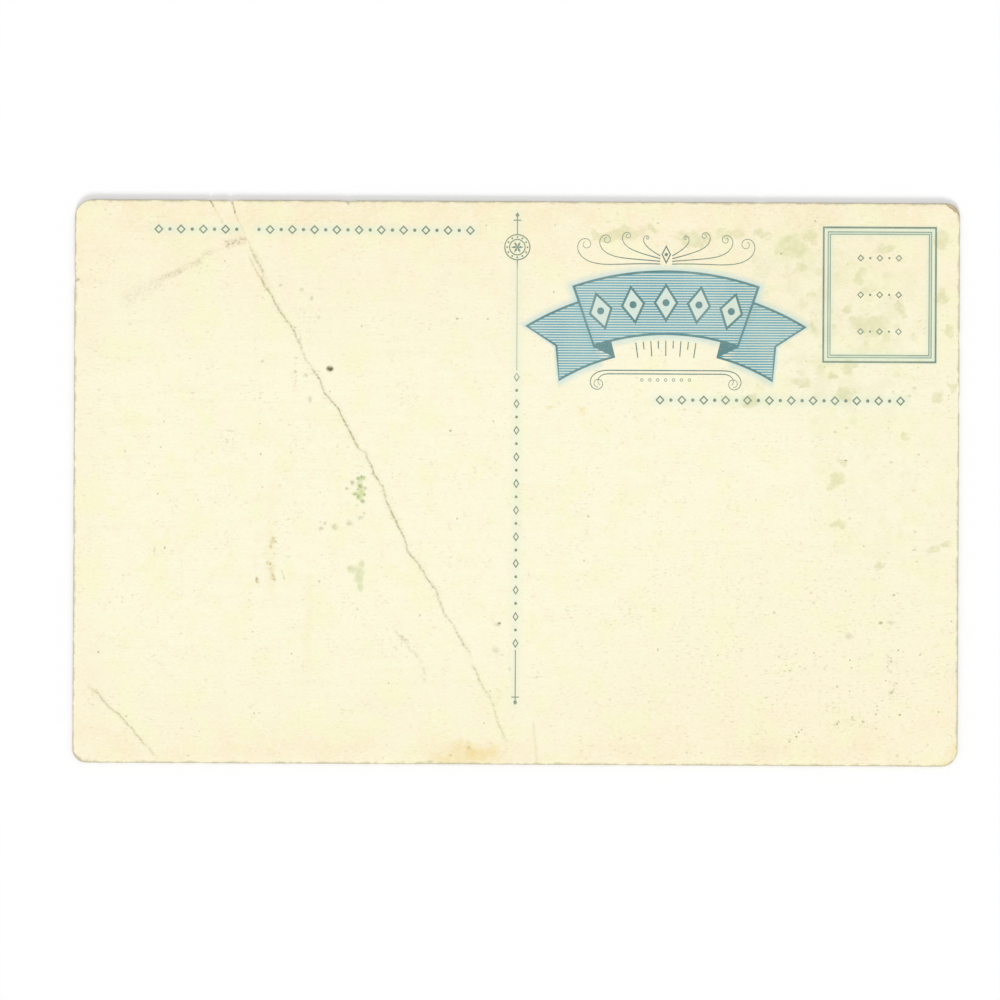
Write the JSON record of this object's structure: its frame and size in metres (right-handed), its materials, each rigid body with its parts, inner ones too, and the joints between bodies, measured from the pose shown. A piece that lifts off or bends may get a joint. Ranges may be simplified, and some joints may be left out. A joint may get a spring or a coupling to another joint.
{
  "type": "postcard",
  "caption": "Creased picture postcard of pasted board with worn corners, a ruled stamp box, a divider, a printed ribbon heading and folding creases.",
  "frame": {"origin": "middle of the card's footprint, on the picture face that lies on the surface", "axes": "+X to the right and +Y to the top edge as the message side is read, +Z out of the message side"},
  "size_m": [0.1396, 0.0888, 0.0004],
  "materials": {
    "message_paper": "uncoated, aged cream",
    "core_paper": "rough grey-buff board",
    "picture_paper": "calendered, aged white",
    "picture_print": "tinted print, satin",
    "outline_ink": "blue ink, matt",
    "hatch_ink": "blue ink, matt",
    "rule_ink": "grey-blue ink, matt",
    "pen_ink": "fine grey-blue line, matt",
    "tint_ink": "pale blue tint, matt"
  },
  "bodies": {
    "main_panel": {"main_message_ply": "message_paper", "main_core_ply": "core_paper", "main_picture_ply": "picture_paper", "main_picture_print": "picture_print", "stamp_box_outer_rule": "rule_ink", "stamp_box_inner_rules": "rule_ink", "stamp_box_tint": "tint_ink", "stamp_box_marks": "rule_ink", "divider_rule": "rule_ink", "divider_rosette": "rule_ink", "divider_chain": "rule_ink", "banner_outline": "outline_ink", "banner_hatching": "hatch_ink", "banner_lozenges": "outline_ink", "ribbon_tail_outlines": "outline_ink", "ribbon_tail_hatching": "hatch_ink", "ribbon_folds": "outline_ink", "heading_scrolls": "pen_ink", "heading_finial": "pen_ink", "heading_rays": "pen_ink", "foot_rule": "pen_ink", "foot_beads": "pen_ink", "address_rule": "rule_ink", "message_rule_on_main": "rule_ink"},
    "message_flap": {"flap_message_ply": "message_paper", "flap_core_ply": "core_paper", "flap_picture_ply": "picture_paper", "flap_picture_print": "picture_print", "message_rule_on_flap": "rule_ink"},
    "corner_flap": {"corner_message_ply": "message_paper", "corner_core_ply": "core_paper", "corner_picture_ply": "picture_paper", "corner_picture_print": "picture_print"}
  },
  "joints": [
    {"name": "long_crease", "type": "hinge", "parent": "main_panel", "child": "message_flap", "pos_m": [-0.02235, 0, 0.0004], "axis": [-0.4705, 0.8824, 0], "range_deg": [0, 170]},
    {"name": "corner_crease", "type": "hinge", "parent": "message_flap", "child": "corner_flap", "pos_m": [-0.06265, -0.03705, 0.0004], "axis": [-0.6974, 0.7167, 0], "range_deg": [0, 170]}
  ]
}
